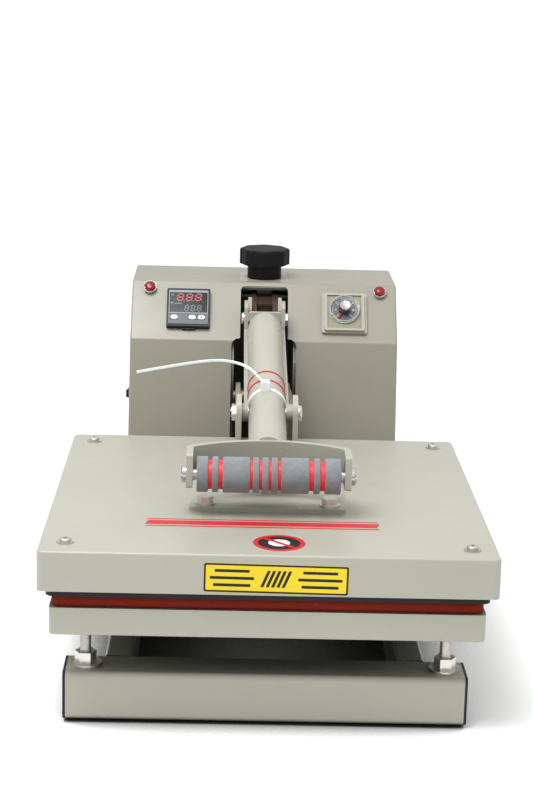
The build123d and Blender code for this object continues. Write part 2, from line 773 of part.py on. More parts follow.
def controller():
    """Temperature controller with a window recess, three key pockets and a release tab."""
    case = panel_case(CONTROL_X, CONTROL_S, CONTROL_BEZEL, CONTROL_T, 1.5)
    with BuildPart() as piece:
        add(case.part)
        with BuildSketch(panel_plane(CONTROL_X, CONTROL_S, WINDOW_LIFT)):
            with Locations((0, WINDOW_S)):
                Rectangle(*WINDOW)
        extrude(amount=CONTROL_T, mode=Mode.SUBTRACT)
        with BuildSketch(panel_plane(CONTROL_X, CONTROL_S, KEY_Z[0] - 0.8)):
            with Locations(*KEYS):
                Rectangle(KEY[0] + 2 * KEY_GAP, KEY[1] + 2 * KEY_GAP)
        extrude(amount=CONTROL_T, mode=Mode.SUBTRACT)
        with BuildSketch(panel_plane(CONTROL_X, CONTROL_S, 0.3)):
            with Locations((1, -CONTROL_BEZEL / 2 - 0.5)):
                Rectangle(14, 3)
        extrude(amount=3)
    return piece


def button(dx, dy):
    """One key of the controller."""
    with BuildPart() as piece:
        with BuildSketch(panel_plane(CONTROL_X, CONTROL_S, KEY_Z[0])):
            with Locations((dx, dy)):
                RectangleRounded(*KEY, 2.2)
        extrude(amount=KEY_Z[1] - KEY_Z[0])
    return piece


def controller_window():
    """Display window in the controller's recess."""
    with BuildPart() as piece:
        with BuildSketch(panel_plane(CONTROL_X, CONTROL_S, WINDOW_LIFT)):
            with Locations((0, WINDOW_S)):
                Rectangle(*WINDOW)
        extrude(amount=1)
    return piece


def timer_case():
    """Timer with a stepped bezel round a sunken face, bored for its dial."""
    case = panel_case(TIMER_X, TIMER_S, TIMER_BEZEL, 4.0, 2)
    with BuildPart() as piece:
        add(case.part)
        with BuildSketch(panel_plane(TIMER_X, TIMER_S, 4)):
            RectangleRounded(44.5, 47, 2)
        extrude(amount=3.5)
        with BuildSketch(panel_plane(TIMER_X, TIMER_S, DIAL_Z[0] - 0.5)):
            Rectangle(38, 42)
        extrude(amount=3.5, mode=Mode.SUBTRACT)
        with BuildSketch(panel_plane(TIMER_X, TIMER_S + DIAL_LIFT, -6)):
            Circle(DIAL_PIN_R + RUN)
        extrude(amount=20, mode=Mode.SUBTRACT)
    return piece


def timer_dial():
    """Skirted dial on its spindle."""
    sections = (
        (DIAL_Z[0], DIAL_Z[1], DIAL_R),
        (DIAL_Z[1], DIAL_Z[2], DIAL_KNOB_R),
        (-5, DIAL_Z[1], DIAL_PIN_R),
    )
    with BuildPart() as piece:
        for z0, z1, radius in sections:
            with BuildSketch(panel_plane(TIMER_X, TIMER_S + DIAL_LIFT, z0)):
                Circle(radius)
            extrude(amount=z1 - z0)
    return piece


def lamp_bezels():
    """Threaded lamp bodies with chromed rims."""
    with BuildPart() as piece:
        for x in LAMP_X:
            with BuildSketch(panel_plane(x, LAMP_S)):
                Circle(7.5)
            extrude(amount=LAMP_RIM_T)
            with BuildSketch(panel_plane(x, LAMP_S)):
                Circle(5.1)
            extrude(amount=-20)
    return piece


def lamp_lenses():
    """Red lamp lenses."""
    with BuildPart() as piece:
        for x in LAMP_X:
            with BuildSketch(panel_plane(x, LAMP_S, LAMP_RIM_T)):
                Circle(6.2)
            extrude(amount=LAMP_LENS_T)
        fillet(piece.edges().group_by(Axis(PANEL.origin, PANEL.z_dir))[-1], 2)
    return piece


def switch_body():
    """Power switch case in the left side of the housing."""
    with BuildPart() as piece:
        with BuildSketch(side_plane(-BOX_X - 2)):
            with Locations((SWITCH_Y, SWITCH_Z)):
                Rectangle(21, 15)
        extrude(amount=2)
        with BuildSketch(side_plane(-BOX_X)):
            with Locations((SWITCH_Y, SWITCH_Z)):
                Rectangle(19, 12)
        extrude(amount=18)
        with BuildSketch(side_plane(-BOX_X - 2)):
            with Locations((SWITCH_Y, SWITCH_Z)):
                Rectangle(16, 9.6)
        extrude(amount=9, mode=Mode.SUBTRACT)
        with BuildSketch(Plane.XY.offset(SWITCH_Z - 5.8)):
            with Locations((-BOX_X + 1, SWITCH_Y)):
                Circle(ROCKER_PIN_R + RUN)
        extrude(amount=11.6, mode=Mode.SUBTRACT)
    return piece


def switch_rocker():
    """Rocker with two sloping faces, pivoted in the switch case."""
    x = -BOX_X
    with BuildPart() as piece:
        with BuildSketch(Plane.XY.offset(SWITCH_Z - 4.4)):
            with BuildLine():
                Polyline(
                    (x + 1, SWITCH_Y - 7.2), (x - 5.2, SWITCH_Y - 7.4), (x - 3.6, SWITCH_Y),
                    (x - 2.6, SWITCH_Y + 7.4), (x + 1, SWITCH_Y + 7.2), close=True,
                )
            make_face()
        extrude(amount=8.8)
        with BuildSketch(Plane.XY.offset(SWITCH_Z - 5.6)):
            with Locations((x + 1, SWITCH_Y)):
                Circle(ROCKER_PIN_R)
        extrude(amount=11.2)
    return piece


def power_inlet():
    """Mains inlet with a flange and an open socket."""
    y1 = BOX_PROFILE[3][0]
    with BuildPart() as piece:
        with BuildSketch(Plane.XZ.offset(-y1)):
            with Locations((INLET_X, INLET_Z)):
                RectangleRounded(32, 24, 3)
        extrude(amount=-2.5)
        with BuildSketch(Plane.XZ.offset(-y1)):
            with Locations((INLET_X, INLET_Z)):
                Rectangle(27, 19.4)
        extrude(amount=22)
        with BuildSketch(Plane.XZ.offset(-y1 - 2.5)):
            with Locations((INLET_X, INLET_Z)):
                RectangleRounded(24, 16.4, 3)
        extrude(amount=18, mode=Mode.SUBTRACT)
        with BuildSketch(Plane.XZ.offset(-y1 + 15.5)):
            with Locations((INLET_X - 7, INLET_Z - 1), (INLET_X, INLET_Z + 3), (INLET_X + 7, INLET_Z - 1)):
                Rectangle(2, 4)
        extrude(amount=-12)
    return piece


def build_base():
    """Base frame, feet and levelling studs."""
    front_studs = [(-STUD_X, BAR_Y[0]), (STUD_X, BAR_Y[0])]
    studs = front_studs + [(-STUD_X, BAR_Y[1]), (STUD_X, BAR_Y[1])]
    pads = [(x, y) for x in (-158, 158) for y in (BAR_Y[0], BAR_Y[2])]
    save(discs(pads, 0, FOOT_H, 14), "foot_pads")
    save(crossbar(BAR_Y[0], True), "front_crossbar")
    save(crossbar(BAR_Y[1], True), "mid_crossbar")
    save(crossbar(BAR_Y[2], False), "rear_crossbar")
    save(end_caps(), "crossbar_end_caps")
    save(rail(-1), "rail_left")
    save(rail(1), "rail_right")
    save(box(-BOX_X, BOX_X, BOX_PROFILE[0][0] + 1, BOX_PROFILE[3][0] - 1, FRAME_TOP, DECK_TOP), "rear_deck")
    save(levelling_studs(studs), "levelling_studs")
    save(discs(studs, FRAME_TOP, FRAME_TOP + 2.5, 14.5, STUD_R), "levelling_washers")
    save(stud_nuts(studs), "levelling_nuts")
    save(lower_platen(studs), "lower_platen")


def build_arm():
    """Silicone pad, heated upper platen, cover and arm."""
    half = PAD_SIZE / 2
    save(box(-half, half, -half - 1.5, half - 1.5, LOWER_Z[1], PAD_TOP, 8), "silicone_pad")
    save(heat_platen(), "heat_platen")
    save(insulation(), "insulation_mat")
    save(posts(), "cover_posts")
    save(platen_cover(), "platen_cover")
    save(cover_screws(), "cover_screws")
    save(arm_base(), "arm_base_plate")
    save(arm_bolts(), "arm_bolts")
    save(arm_plate(-ARM_X[1], -ARM_X[0]), "arm_plate_left")
    save(arm_plate(*ARM_X), "arm_plate_right")
    save(pin(PIVOT_B, ARM_X[1], -ARM_X[1], PIN_R, 8, 4.5, 7.5, 4.5, 1), "lever_pivot_bolt")
    save(cross_rings(PIVOT_B, both_sides((CHEEK_X[0] + 0.3, ARM_X[0])), 9, PIN_R), "pivot_spacers")


def build_lever():
    """Lever, bow, grip and toggle link."""
    save(lever_tube(), "lever_tube")
    save(lever_cheek(-1), "lever_ear_left")
    save(lever_cheek(1), "lever_ear_right")
    save(pin(PIVOT_Q, -CHEEK_X[1], CHEEK_X[1], PIN_R, 6.5, 3.2, 6.5, 3, 0.3), "link_pin")
    save(bow(), "bow_bracket")
    save(cross_rings((GRIP_Y, GRIP_Z), ((-75.0, 75.0),), AXLE_R), "grip_axle")
    save(end_screws(), "bow_end_screws")
    core = cross_rings((GRIP_Y, GRIP_Z), ((-GRIP_HALF, GRIP_HALF),), GRIP_CORE_R, AXLE_R + RUN)
    save(core, "grip_core")
    save(grip_foam(), "grip_foam")
    save(toggle_link(), "toggle_link")


def build_frame():
    """Uprights, hinge pin, pressure screw and its knob."""
    save(upright(-UPRIGHT_X[1], -UPRIGHT_X[0]), "upright_left")
    save(upright(*UPRIGHT_X), "upright_right")
    save(top_bridge(), "top_bridge")
    save(cross_rings(PIVOT_C, ((-45.0, 45.0),), HINGE_R), "hinge_pin")
    save(cross_rings(PIVOT_C, both_sides((UPRIGHT_X[1], UPRIGHT_X[1] + 2)), 11, HINGE_R), "hinge_clips")
    spacers = both_sides((ARM_X[1] + 0.3, UPRIGHT_X[0])) + ((-ARM_X[0] + 0.3, ARM_X[0] - 0.3),)
    save(cross_rings(PIVOT_C, spacers, 11, HINGE_R), "hinge_spacers")
    save(screw_block(), "screw_block")
    save(pressure_screw(), "pressure_screw")
    save(pressure_knob(), "pressure_knob")


def build_housing():
    """Housing sheets, controls and electrical parts."""
    save(housing_shell(), "housing_shell")
    save(housing_back(), "housing_back")
    save(back_screws(), "back_screws")
    save(controller(), "controller_case")
    save(controller_window(), "controller_window")
    for name, (dx, dy) in zip(("button_set", "button_down", "button_up"), KEYS):
        save(button(dx, dy), name)
    save(timer_case(), "timer_case")
    save(timer_dial(), "timer_dial")
    save(lamp_bezels(), "lamp_bezels")
    save(lamp_lenses(), "lamp_lenses")
    save(switch_body(), "switch_body")
    save(switch_rocker(), "switch_rocker")
    save(power_inlet(), "power_inlet")
    save(box(-130, -90, 360, 420, DECK_TOP, DECK_TOP + 24, 2), "solid_state_relay")


build_base()
build_arm()
build_lever()
build_frame()
build_housing()
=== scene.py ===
import json
import math
import random

import bmesh
import bpy
from mathutils import Matrix, Vector


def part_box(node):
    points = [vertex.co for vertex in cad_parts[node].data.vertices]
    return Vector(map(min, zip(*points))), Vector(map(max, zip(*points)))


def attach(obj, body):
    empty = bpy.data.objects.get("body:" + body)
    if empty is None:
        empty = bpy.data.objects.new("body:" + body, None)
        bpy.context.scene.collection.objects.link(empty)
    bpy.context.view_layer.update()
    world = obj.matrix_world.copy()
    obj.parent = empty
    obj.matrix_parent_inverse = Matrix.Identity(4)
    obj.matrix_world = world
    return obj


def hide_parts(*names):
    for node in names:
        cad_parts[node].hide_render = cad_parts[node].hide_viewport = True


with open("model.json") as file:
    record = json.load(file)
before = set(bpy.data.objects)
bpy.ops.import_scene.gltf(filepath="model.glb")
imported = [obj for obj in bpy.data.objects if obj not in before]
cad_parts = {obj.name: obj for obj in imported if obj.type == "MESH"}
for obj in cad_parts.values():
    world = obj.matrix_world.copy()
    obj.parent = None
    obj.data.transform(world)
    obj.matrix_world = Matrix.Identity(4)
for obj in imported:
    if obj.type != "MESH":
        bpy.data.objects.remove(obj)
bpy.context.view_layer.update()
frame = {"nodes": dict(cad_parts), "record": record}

MM = 0.001
NODES = frame["nodes"]
RECORD = frame["record"]
SLOT_OF = {s["node"]: s["material_slot"] for s in RECORD["subparts"]}
JOINT = {j["name"]: j for j in RECORD["behaviour"]["joints"]}
X, Y, Z = Vector((1, 0, 0)), Vector((0, 1, 0)), Vector((0, 0, 1))


# ---------------------------------------------------------------- material nodes

def new_material(name):
    mat = bpy.data.materials.new(name)
    mat.use_nodes = True
    return mat, mat.node_tree, mat.node_tree.nodes["Principled BSDF"]


def noise(tree, scale, detail=4.0, rough=0.55, stretch=None):
    """Noise in the object's own space, scale in cycles per metre."""
    place = tree.nodes.new("ShaderNodeTexCoord").outputs["Object"]
    if stretch:
        mapping = tree.nodes.new("ShaderNodeMapping")
        mapping.inputs["Scale"].default_value = stretch
        tree.links.new(place, mapping.inputs["Vector"])
        place = mapping.outputs["Vector"]
    n = tree.nodes.new("ShaderNodeTexNoise")
    n.inputs["Scale"].default_value = scale
    n.inputs["Detail"].default_value = detail
    n.inputs["Roughness"].default_value = rough
    tree.links.new(place, n.inputs["Vector"])
    return n.outputs["Fac"]


def ramp(tree, fac, stops):
    """Colour ramp through (position, value or colour) stops."""
    r = tree.nodes.new("ShaderNodeValToRGB")
    while len(r.color_ramp.elements) < len(stops):
        r.color_ramp.elements.new(0.5)
    for element, (position, colour) in zip(r.color_ramp.elements, stops):
        element.position = position
        element.color = (colour, colour, colour, 1) if isinstance(colour, float) else (*colour, 1)
    tree.links.new(fac, r.inputs["Fac"])
    return r.outputs["Color"]


def mix(tree, fac, a, b, blend="MIX"):
    m = tree.nodes.new("ShaderNodeMix")
    m.data_type = "RGBA"
    m.blend_type = blend
    for sock, value in zip((m.inputs[0], m.inputs[6], m.inputs[7]), (fac, a, b)):
        if isinstance(value, bpy.types.NodeSocket):
            tree.links.new(value, sock)
        else:
            sock.default_value = value if isinstance(value, float) else (*value, 1)
    return m.outputs[2]


def edge_mask(tree, radius_mm):
    """White along sharp edges: where a bevelled normal leaves the face's own."""
    soft = tree.nodes.new("ShaderNodeBevel")
    soft.samples = 4
    soft.inputs["Radius"].default_value = radius_mm * MM
    dot = tree.nodes.new("ShaderNodeVectorMath")
    dot.operation = "DOT_PRODUCT"
    tree.links.new(soft.outputs["Normal"], dot.inputs[0])
    tree.links.new(tree.nodes.new("ShaderNodeNewGeometry").outputs["Normal"], dot.inputs[1])
    return ramp(tree, dot.outputs["Value"], [(0.86, 0.8), (0.985, 0.0)])


def painted_shade_ramp(tree, reach, stops):
    """Painted shade: grey that falls off inside hollows and under overhangs, where light is lost."""
    painted_shade = tree.nodes.new("ShaderNodeAmbientOcclusion")
    painted_shade.samples = 8
    painted_shade.inputs["Distance"].default_value = reach
    return ramp(tree, painted_shade.outputs["AO"], stops)


def height(tree, bsdf, layers):
    """Stacked bump: (height socket, strength, distance in mm)."""
    below = None
    for socket, strength, distance in layers:
        b = tree.nodes.new("ShaderNodeBump")
        b.inputs["Strength"].default_value = strength
        b.inputs["Distance"].default_value = distance * MM
        tree.links.new(socket, b.inputs["Height"])
        if below:
            tree.links.new(below, b.inputs["Normal"])
        below = b.outputs["Normal"]
    tree.links.new(below, bsdf.inputs["Normal"])


def shade(base, factor):
    return tuple(min(1.0, c * factor) for c in base)


def surface(name, base, spread, rough, grain, grain_mm, metallic=0.0, specular=0.5, coat=0.0,
            specks=None, edge=None, wave=None, stretch=None, painted_shade=None):
    """Paint, plastic, rubber or metal: tone drift, specks, pale edges (a painted highlight on paint, wear on
    the link steel), grain and uneven gloss.

    specks is (scale, threshold, colour), edge is (radius in mm, colour), wave is (scale, depth in mm)
    and shelter is (reach in metres, stops) of the painted shade in hollows and under overhangs.
    """
    mat, tree, bsdf = new_material(name)
    drift = [(0.3, shade(base, 1 - spread)), (0.7, shade(base, 1 + spread))]
    colour = ramp(tree, noise(tree, 9.0, 5.0), drift)
    mottle = ramp(tree, noise(tree, 140.0, 5.0, 0.65, stretch), [(0.35, 0.0), (0.75, 0.35)])
    colour = mix(tree, mottle, colour, shade(base, 1 - 1.6 * spread))
    if specks:
        scale, limit, tint = specks
        dots = ramp(tree, noise(tree, scale, 5.0, 0.7), [(limit, 0.0), (limit + 0.05, 0.8)])
        colour = mix(tree, dots, colour, tint)
    # paler edges: on paint a painted highlight, on the link steel wear
    if edge:
        radius_mm, tint = edge
        colour = mix(tree, edge_mask(tree, radius_mm), colour, tint)
    # painted shade: the colour is multiplied darker in hollows and under overhangs
    if painted_shade:
        colour = mix(tree, 1.0, colour, painted_shade_ramp(tree, *painted_shade), "MULTIPLY")
    tree.links.new(colour, bsdf.inputs["Base Color"])
    gloss = ramp(tree, noise(tree, 35.0, 5.0, 0.6, stretch), [(0.3, rough[0]), (0.7, rough[1])])
    tree.links.new(gloss, bsdf.inputs["Roughness"])
    layers = [(noise(tree, grain, 3.0, 0.6, stretch), 0.6, grain_mm)]
    if wave:
        layers.append((noise(tree, wave[0], 2.0), 0.5, wave[1]))
    height(tree, bsdf, layers)
    bsdf.inputs["Metallic"].default_value = metallic
    bsdf.inputs["Specular IOR Level"].default_value = specular
    bsdf.inputs["Coat Weight"].default_value = coat
    bsdf.inputs["Coat Roughness"].default_value = 0.08
    return mat


PAINT = (0.322, 0.319, 0.264)
# the frame paint darkened: painted shade on the housing, which stands further back from the light
HOUSING_PAINT_SHADED = (0.232, 0.222, 0.176)
PAINT_DIRT = (0.16, 0.14, 0.10)
# paler paint along edges: a painted highlight
PAINT_EDGE_HIGHLIGHT = (0.46, 0.455, 0.40)
# painted shade in hollows and under overhangs: reach in metres and ramp stops
HOLLOW_SHADE = (0.16, ((0.05, 0.04), (0.22, 0.35), (0.38, 1.0)))


def paint(name, base=PAINT, rough=(0.30, 0.40), painted_shade=HOLLOW_SHADE):
    """Gloss stove enamel with slight orange peel, dust nibs, thin pale edges as a painted highlight, and
    painted shade in hollows.
    """
    return surface(name, base, 0.025, rough, 420.0, 0.035, coat=0.06, specks=(260.0, 0.74, PAINT_DIRT),
                   edge=(0.7, PAINT_EDGE_HIGHLIGHT), wave=(45.0, 0.12), painted_shade=painted_shade)


def glow(name, colour, strength):
    """Lit display segment with uneven brightness."""
    mat, tree, bsdf = new_material(name)
    drift = ramp(tree, noise(tree, 700.0, 3.0), [(0.3, shade(colour, 0.75)), (0.7, colour)])
    tree.links.new(drift, bsdf.inputs["Base Color"])
    tree.links.new(drift, bsdf.inputs["Emission Color"])
    bsdf.inputs["Emission Strength"].default_value = strength
    bsdf.inputs["Roughness"].default_value = 0.3
    return mat


def clear_plastic(name):
    """Milky clear plastic with fine moulding marks."""
    mat = surface(name, (0.80, 0.80, 0.83), 0.04, (0.08, 0.18), 500.0, 0.01, specular=0.6)
    bsdf = mat.node_tree.nodes["Principled BSDF"]
    bsdf.inputs["Transmission Weight"].default_value = 0.75
    bsdf.inputs["IOR"].default_value = 1.46
    return mat


def clear_film(name):
    """Thin web of clear plastic, nearly see-through."""
    mat = surface(name, (0.75, 0.76, 0.80), 0.05, (0.06, 0.12), 500.0, 0.01)
    mat.node_tree.nodes["Principled BSDF"].inputs["Alpha"].default_value = 0.05
    return mat


def foam_material(name):
    """Closed-cell foam: cells as fine pits with painted shade in them, dusty tone."""
    mat, tree, bsdf = new_material(name)
    base = (0.175, 0.190, 0.200)
    cells = tree.nodes.new("ShaderNodeTexVoronoi")
    cells.inputs["Scale"].default_value = 1500.0
    tree.links.new(tree.nodes.new("ShaderNodeTexCoord").outputs["Object"], cells.inputs["Vector"])
    tone = ramp(tree, noise(tree, 90.0, 6.0, 0.7), [(0.3, shade(base, 0.82)), (0.7, shade(base, 1.15))])
    # painted shade: the colour darkens in each cell's pit
    pit_shade = ramp(tree, cells.outputs["Distance"], [(0.05, 0.0), (0.5, 1.0)])
    tree.links.new(mix(tree, pit_shade, shade(base, 0.55), tone), bsdf.inputs["Base Color"])
    bsdf.inputs["Roughness"].default_value = 0.92
    bsdf.inputs["Sheen Weight"].default_value = 0.25
    height(tree, bsdf, [(cells.outputs["Distance"], 0.6, 0.12), (noise(tree, 260.0, 4.0), 0.4, 0.15)])
    return mat


def metal(name, base, spread, rough, grain, grain_mm, **extra):
    return surface(name, base, spread, rough, grain, grain_mm, metallic=1.0, **extra)


# slot or finish: maker, then its arguments after the name
FINISHES = {
    "frame_paint": (paint, (), {}),
    "housing_paint": (paint, (HOUSING_PAINT_SHADED,), {}),
    "arm_paint": (paint, (), {"painted_shade": None}),
    "lever_paint": (paint, (), {"rough": (0.26, 0.34), "painted_shade": None}),
    "foot_rubber": (surface, ((0.03, 0.03, 0.03), 0.15, (0.7, 0.85), 600, 0.08),
                    {"specks": (300.0, 0.66, (0.14, 0.13, 0.12))}),
    "cap_plastic": (surface, ((0.010, 0.011, 0.014), 0.15, (0.42, 0.55), 900, 0.03), {"specular": 0.25}),
    "zinc": (metal, ((0.62, 0.60, 0.56), 0.14, (0.20, 0.40), 1500, 0.02),
             {"specks": (220.0, 0.66, (0.30, 0.26, 0.20))}),
    "silicone": (surface, ((0.150, 0.012, 0.005), 0.12, (0.65, 0.8), 700, 0.08),
                 {"specular": 0.1, "specks": (180.0, 0.64, (0.20, 0.03, 0.015))}),
    "coated_platen": (surface, ((0.016, 0.013, 0.015), 0.2, (0.45, 0.65), 500, 0.05),
                      {"specular": 0.2, "specks": (160.0, 0.66, (0.05, 0.035, 0.03))}),
    "fibre_mat": (surface, ((0.70, 0.68, 0.60), 0.08, (0.9, 0.95), 300, 0.3), {"stretch": (1, 4, 1)}),
    "dark_steel": (metal, ((0.17, 0.15, 0.13), 0.2, (0.32, 0.55), 900, 0.03),
                   {"specks": (200.0, 0.62, (0.08, 0.05, 0.035))}),
    "chrome_cap": (metal, ((0.52, 0.51, 0.50), 0.08, (0.12, 0.22), 900, 0.006), {}),
    "grip_red": (surface, ((0.72, 0.022, 0.030), 0.08, (0.38, 0.5), 900, 0.04), {}),
    "grip_grey": (foam_material, (), {}),
    "link_steel": (surface, ((0.060, 0.036, 0.027), 0.35, (0.38, 0.6), 300, 0.1),
                   {"metallic": 0.35, "specks": (120.0, 0.56, (0.13, 0.055, 0.03)),
                    "edge": (0.5, (0.20, 0.16, 0.13))}),
    "knob_plastic": (surface, ((0.006, 0.006, 0.0065), 0.15, (0.45, 0.6), 700, 0.06), {"specular": 0.12}),
    "black_plastic": (surface, ((0.010, 0.011, 0.013), 0.12, (0.4, 0.55), 1200, 0.04), {"specular": 0.25}),
    "window_plastic": (surface, ((0.010, 0.009, 0.014), 0.1, (0.10, 0.18), 900, 0.004), {"specular": 0.35}),
    "key_rubber": (surface, ((0.66, 0.65, 0.66), 0.05, (0.45, 0.6), 900, 0.03), {}),
    "cream_plastic": (surface, ((0.33, 0.295, 0.250), 0.04, (0.34, 0.45), 900, 0.03), {}),
    "dial_plastic": (clear_plastic, (), {}),
    "lens_red": (surface, ((0.20, 0.003, 0.004), 0.15, (0.12, 0.22), 900, 0.01), {"specular": 0.4}),
    "rocker_plastic": (surface, ((0.018, 0.018, 0.020), 0.12, (0.18, 0.3), 900, 0.02), {}),
    "timer_face": (surface, ((0.21, 0.215, 0.135), 0.05, (0.4, 0.55), 800, 0.02), {}),
    "scale_black": (surface, ((0.018, 0.018, 0.024), 0.15, (0.35, 0.5), 900, 0.02), {}),
    "print_white": (surface, ((0.72, 0.72, 0.70), 0.06, (0.4, 0.5), 900, 0.01), {}),
    "print_red": (surface, ((0.46, 0.012, 0.022), 0.10, (0.36, 0.46), 600, 0.02), {"specular": 0.3}),
    "print_black": (surface, ((0.010, 0.009, 0.008), 0.12, (0.4, 0.5), 600, 0.02), {"specular": 0.25}),
    "label_yellow": (surface, ((0.66, 0.50, 0.012), 0.05, (0.32, 0.42), 500, 0.02), {"specular": 0.3}),
    "strip_grey": (surface, ((0.066, 0.082, 0.080), 0.12, (0.34, 0.5), 900, 0.02), {}),
    "band_blue": (surface, ((0.19, 0.21, 0.24), 0.1, (0.3, 0.42), 900, 0.01), {}),
    "silver_knob": (metal, ((0.38, 0.375, 0.37), 0.10, (0.18, 0.32), 1600, 0.02), {"stretch": (1, 1, 6)}),
    "clear_film": (clear_film, (), {}),
    "nylon": (surface, ((0.80, 0.82, 0.84), 0.04, (0.35, 0.5), 700, 0.03), {}),
    "digit_red": (glow, ((0.40, 0.045, 0.050), 0.12), {}),
    "digit_green": (glow, ((0.055, 0.13, 0.110), 0.12), {}),
}
MATS = {name: maker(name, *values, **named) for name, (maker, values, named) in FINISHES.items()}

for node_name, node in NODES.items():
    node.data.materials.clear()
    node.data.materials.append(MATS[SLOT_OF[node_name]])


# ---------------------------------------------------------------- mesh helpers

SHARP_ABOVE = 32.0


def basis(origin, right, up):
    """Matrix whose local X, Y and Z are right, up and right x up."""
    right, up = right.normalized(), up.normalized()
    out = right.cross(up)
    return Matrix((
        (right.x, up.x, out.x, origin.x),
        (right.y, up.y, out.y, origin.y),
        (right.z, up.z, out.z, origin.z),
        (0, 0, 0, 1),
    ))


def finish_piece(name, bm, material, body, smooth=True, replaces=()):
    """Turn a bmesh, in metres in the row frame, into a piece on a body."""
    bmesh.ops.recalc_face_normals(bm, faces=bm.faces)
    mesh = bpy.data.meshes.new(name)
    bm.to_mesh(mesh)
    bm.free()
    obj = bpy.data.objects.new(name, mesh)
    bpy.context.scene.collection.objects.link(obj)
    mesh.materials.append(material)
    if smooth:
        for polygon in mesh.polygons:
            polygon.use_smooth = True
        mesh.set_sharp_from_angle(angle=math.radians(SHARP_ABOVE))
    if replaces:
        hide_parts(*replaces)
    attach(obj, body)
    return obj


def ring_points(bm, matrix, points):
    """New vertices at points given in mm in the matrix's frame."""
    return [bm.verts.new(matrix @ (Vector(point) * MM)) for point in points]


def bridge(bm, a, b, closed=True):
    """Quads between two rows of as many vertices."""
    for i in range(len(a) if closed else len(a) - 1):
        j = (i + 1) % len(a)
        bm.faces.new((a[i], a[j], b[j], b[i]))


def turned(bm, matrix, profile, steps, wobble=None):
    """One row of vertices per angle, from (radius, height) points about local Z."""
    rows = []
    outer = 0.5 * max(r for r, z in profile)
    for i in range(steps):
        a = 2 * math.pi * i / steps
        grow = wobble(a) if wobble else 0.0
        far = [r + (grow if r > outer else 0.0) for r, z in profile]
        rows.append(ring_points(bm, matrix, [(f * math.cos(a), f * math.sin(a), z)
                                             for f, (r, z) in zip(far, profile)]))
    return rows


def lathe(bm, matrix, profile, steps=48, wobble=None):
    """Closed ring turned from a closed profile."""
    rows = turned(bm, matrix, profile, steps, wobble)
    for a, b in zip(rows, rows[1:] + rows[:1]):
        bridge(bm, a, b)


def solid_lathe(bm, matrix, profile, steps=48):
    """Turned solid whose profile starts and ends near the axis."""
    rows = turned(bm, matrix, profile, steps)
    for a, b in zip(rows, rows[1:] + rows[:1]):
        bridge(bm, a, b, closed=False)
    bm.faces.new([row[0] for row in rows])
    bm.faces.new([row[-1] for row in rows])


def slab(bm, matrix, outline, z0, z1, edge=0.0):
    """Flat plate from an outline in mm, z0 to z1, with its top edge bevelled."""
    low = ring_points(bm, matrix, [(x, y, z0) for x, y in outline])
    high = ring_points(bm, matrix, [(x, y, z1) for x, y in outline])
    top = bm.faces.new(high)
    bm.faces.new(list(reversed(low)))
    bridge(bm, low, high)
    if edge:
        bmesh.ops.bevel(bm, geom=list(top.edges), offset=edge * MM, segments=2, affect="EDGES")


def frame_slab(bm, matrix, outer, inner, z0, z1):
    """Plate with a hole: outer and inner outlines have as many points."""
    rings = [ring_points(bm, matrix, [(x, y, z) for x, y in line])
             for line, z in ((outer, z0), (outer, z1), (inner, z1), (inner, z0))]
    for a, b in zip(rings, rings[1:] + rings[:1]):
        bridge(bm, a, b)


def rounded(width, tall, radius, x=0.0, y=0.0, steps=5):
    """Rounded rectangle outline about (x, y), in mm."""
    points = []
    for k, (sx, sy) in enumerate(((1, 1), (-1, 1), (-1, -1), (1, -1))):
        cx, cy = x + sx * (width / 2 - radius), y + sy * (tall / 2 - radius)
        for i in range(steps + 1):
            a = math.radians(90 * (k + i / steps))
            points.append((cx + radius * math.cos(a), cy + radius * math.sin(a)))
    return points


def circle(radius, x=0.0, y=0.0, steps=48):
    turns = [2 * math.pi * i / steps for i in range(steps)]
    return [(x + radius * math.cos(a), y + radius * math.sin(a)) for a in turns]


def rectangle(x0, x1, y0, y1, lean=0.0):
    """Rectangle outline, its top edge shifted by lean."""
    return [(x1, y0), (x1 + lean, y1), (x0 + lean, y1), (x0, y0)]


def middle(node_name):
    low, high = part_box(node_name)
    return (Vector(low) + Vector(high)) / 2


# ---------------------------------------------------------------- panel instruments

PANEL_N = Vector(JOINT["timer_turn"]["axis"]).normalized()
PANEL_UP = PANEL_N.cross(X)
CONTROL_T, WINDOW_TOP, WINDOW_S, KEY_TOP = 6.0, 5.8, 7.0, 6.8
PRINT_T = 0.08
TIMER_FLOOR, DIAL_PIVOT_LIFT, DIAL_LIFT = 5.5, 9.0, 3.0
SCALE_START, SCALE_SWEEP, SCALE_TICKS, POINTER_AT = 225.0, 270.0, 48, 238.0
LAMP_TOP, LAMP_LENS_T, LAMP_R = 4.5, 4.0, 6.2

WINDOW_MID = middle("controller_window")
CONTROL = basis(WINDOW_MID - (PANEL_UP * WINDOW_S + PANEL_N * (WINDOW_TOP - 0.5)) * MM, X, PANEL_UP)
DIAL = basis(Vector(JOINT["timer_turn"]["pos_m"]) - PANEL_N * DIAL_PIVOT_LIFT * MM, X, PANEL_UP)
# each segment of a digit as x0, y0, x1, y1 on a grid one wide and two high
SEGMENTS = ((0, 2, 1, 2), (1, 1, 1, 2), (1, 0, 1, 1), (0, 0, 1, 0), (0, 0, 0, 1), (0, 1, 0, 2), (0, 1, 1, 1))


def digit(bm, matrix, x, y, width, tall, stroke, lean):
    """All seven segments of one display digit, with small gaps between them."""
    gap = 0.12 * width
    for x0, y0, x1, y1 in SEGMENTS:
        low, high = y0 * tall / 2, y1 * tall / 2
        shift = lean * low / tall
        if y0 == y1:
            line = rectangle(x + gap + shift, x + width - gap + shift,
                             y + low - stroke / 2, y + low + stroke / 2)
        else:
            at = x + x0 * width + shift
            line = rectangle(at - stroke / 2, at + stroke / 2, y + low + gap, y + high - gap,
                             lean * (high - low) / tall)
        slab(bm, matrix, line, WINDOW_TOP, WINDOW_TOP + PRINT_T)


